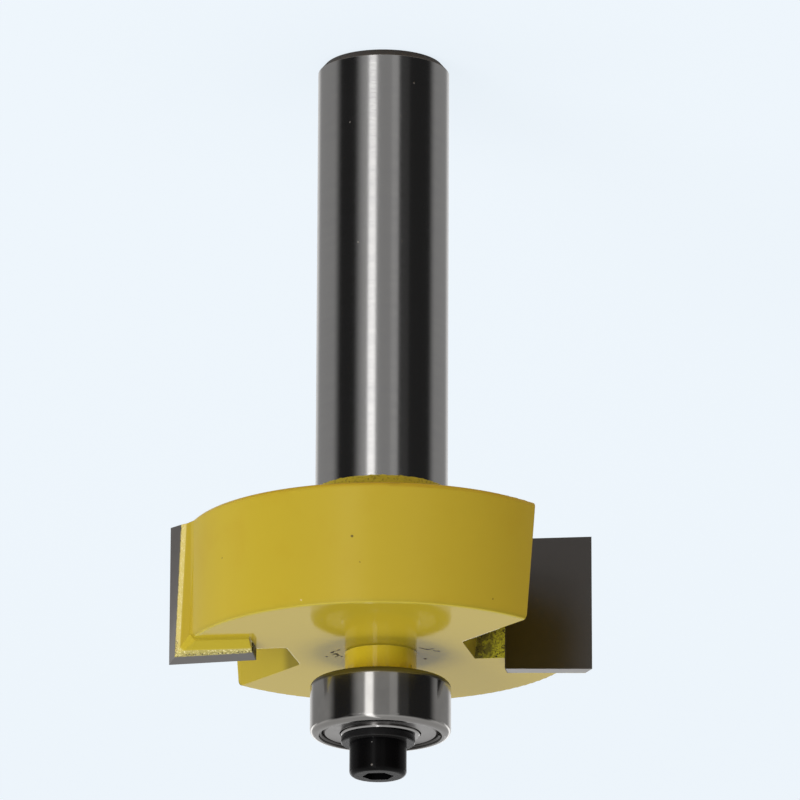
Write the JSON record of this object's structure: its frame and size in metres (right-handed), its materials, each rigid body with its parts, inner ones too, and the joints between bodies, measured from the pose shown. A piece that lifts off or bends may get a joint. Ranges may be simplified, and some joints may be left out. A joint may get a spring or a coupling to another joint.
{
  "type": "router bit",
  "caption": "Rabbeting router bit: a painted disc with gullets and brazed carbide tips, a ball-bearing guide on its nose and a straight shank.",
  "frame": {"origin": "centre of the shank's flat end face, on which the bit stands", "axes": "+Z along the axis from the shank to the guide bearing; the first cutting face lies on the +X side and looks towards +Y"},
  "size_m": [0.0378, 0.0354, 0.0669],
  "materials": {
    "painted_body": "glossy paint on the disc, ground bare steel on the shank",
    "carbide": "finely ground",
    "braze": "as flowed",
    "bearing_steel": "ground and superfinished",
    "ball_steel": "polished",
    "sheet_steel": "satin",
    "black_oxide": "oiled black oxide"
  },
  "bodies": {
    "cutter": {"cutter_body": "painted_body", "carbide_tip_1": "carbide", "carbide_tip_2": "carbide", "braze_layer_1": "braze", "braze_layer_2": "braze", "bearing_inner_ring": "bearing_steel", "bearing_washer": "black_oxide", "bearing_screw": "black_oxide"},
    "bearing_outer": {"bearing_outer_ring": "bearing_steel", "bearing_shield_nose": "sheet_steel", "bearing_shield_shank": "sheet_steel", "bearing_snap_wire_nose": "sheet_steel", "bearing_snap_wire_shank": "sheet_steel"},
    "ball_cage": {"bearing_cage_nose": "sheet_steel", "bearing_cage_shank": "sheet_steel", "bearing_cage_rivets": "sheet_steel"},
    "ball_1": {"bearing_ball_1": "ball_steel"},
    "ball_2": {"bearing_ball_2": "ball_steel"},
    "ball_3": {"bearing_ball_3": "ball_steel"},
    "ball_4": {"bearing_ball_4": "ball_steel"},
    "ball_5": {"bearing_ball_5": "ball_steel"},
    "ball_6": {"bearing_ball_6": "ball_steel"},
    "ball_7": {"bearing_ball_7": "ball_steel"}
  },
  "joints": [
    {"name": "bearing_spin", "type": "hinge", "parent": "cutter", "child": "bearing_outer", "pos_m": [0, 0, 0.06074], "axis": [0, 0, 1], "continuous": true},
    {"name": "cage_spin", "type": "hinge", "parent": "cutter", "child": "ball_cage", "pos_m": [0, 0, 0.06074], "axis": [0, 0, 1], "continuous": true},
    {"name": "ball_spin_1", "type": "hinge", "parent": "ball_cage", "child": "ball_1", "pos_m": [0.00436, 0, 0.06074], "axis": [0, 0, 1], "continuous": true},
    {"name": "ball_spin_2", "type": "hinge", "parent": "ball_cage", "child": "ball_2", "pos_m": [0.00272, 0.00341, 0.06074], "axis": [0, 0, 1], "continuous": true},
    {"name": "ball_spin_3", "type": "hinge", "parent": "ball_cage", "child": "ball_3", "pos_m": [-0.00097, 0.00426, 0.06074], "axis": [0, 0, 1], "continuous": true},
    {"name": "ball_spin_4", "type": "hinge", "parent": "ball_cage", "child": "ball_4", "pos_m": [-0.00393, 0.00189, 0.06074], "axis": [0, 0, 1], "continuous": true},
    {"name": "ball_spin_5", "type": "hinge", "parent": "ball_cage", "child": "ball_5", "pos_m": [-0.00393, -0.00189, 0.06074], "axis": [0, 0, 1], "continuous": true},
    {"name": "ball_spin_6", "type": "hinge", "parent": "ball_cage", "child": "ball_6", "pos_m": [-0.00097, -0.00426, 0.06074], "axis": [0, 0, 1], "continuous": true},
    {"name": "ball_spin_7", "type": "hinge", "parent": "ball_cage", "child": "ball_7", "pos_m": [0.00272, -0.00341, 0.06074], "axis": [0, 0, 1], "continuous": true}
  ],
  "couplings": [
    {"joint": "cage_spin", "follows": "bearing_spin", "ratio": 0.63635},
    {"joint": "ball_spin_1", "follows": "bearing_spin", "ratio": 1.6971},
    {"joint": "ball_spin_2", "follows": "bearing_spin", "ratio": 1.6971},
    {"joint": "ball_spin_3", "follows": "bearing_spin", "ratio": 1.6971},
    {"joint": "ball_spin_4", "follows": "bearing_spin", "ratio": 1.6971},
    {"joint": "ball_spin_5", "follows": "bearing_spin", "ratio": 1.6971},
    {"joint": "ball_spin_6", "follows": "bearing_spin", "ratio": 1.6971},
    {"joint": "ball_spin_7", "follows": "bearing_spin", "ratio": 1.6971}
  ]
}
